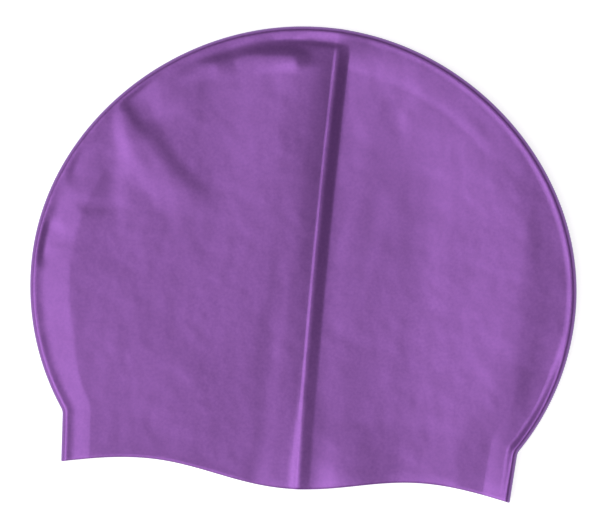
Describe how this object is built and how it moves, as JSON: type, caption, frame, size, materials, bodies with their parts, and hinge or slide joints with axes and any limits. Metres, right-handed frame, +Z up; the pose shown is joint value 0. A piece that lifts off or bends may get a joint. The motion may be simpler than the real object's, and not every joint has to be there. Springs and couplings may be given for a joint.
{
  "type": "swim cap",
  "caption": "Moulded silicone swim cap lying flat, a hollow dome with a centre rib, a rounded edge fold and a wavy open hem with an ear flap.",
  "frame": {"origin": "on the surface that the cap lies on, under the middle of its outline", "axes": "+X across the cap to its right side, +Y from the hem to the crown, +Z up from the surface it lies on"},
  "size_m": [0.225, 0.1903, 0.0113],
  "materials": {
    "silicone": "satin pearl purple"
  },
  "bodies": {
    "root": {"cap_shell": "silicone"}
  },
  "joints": []
}
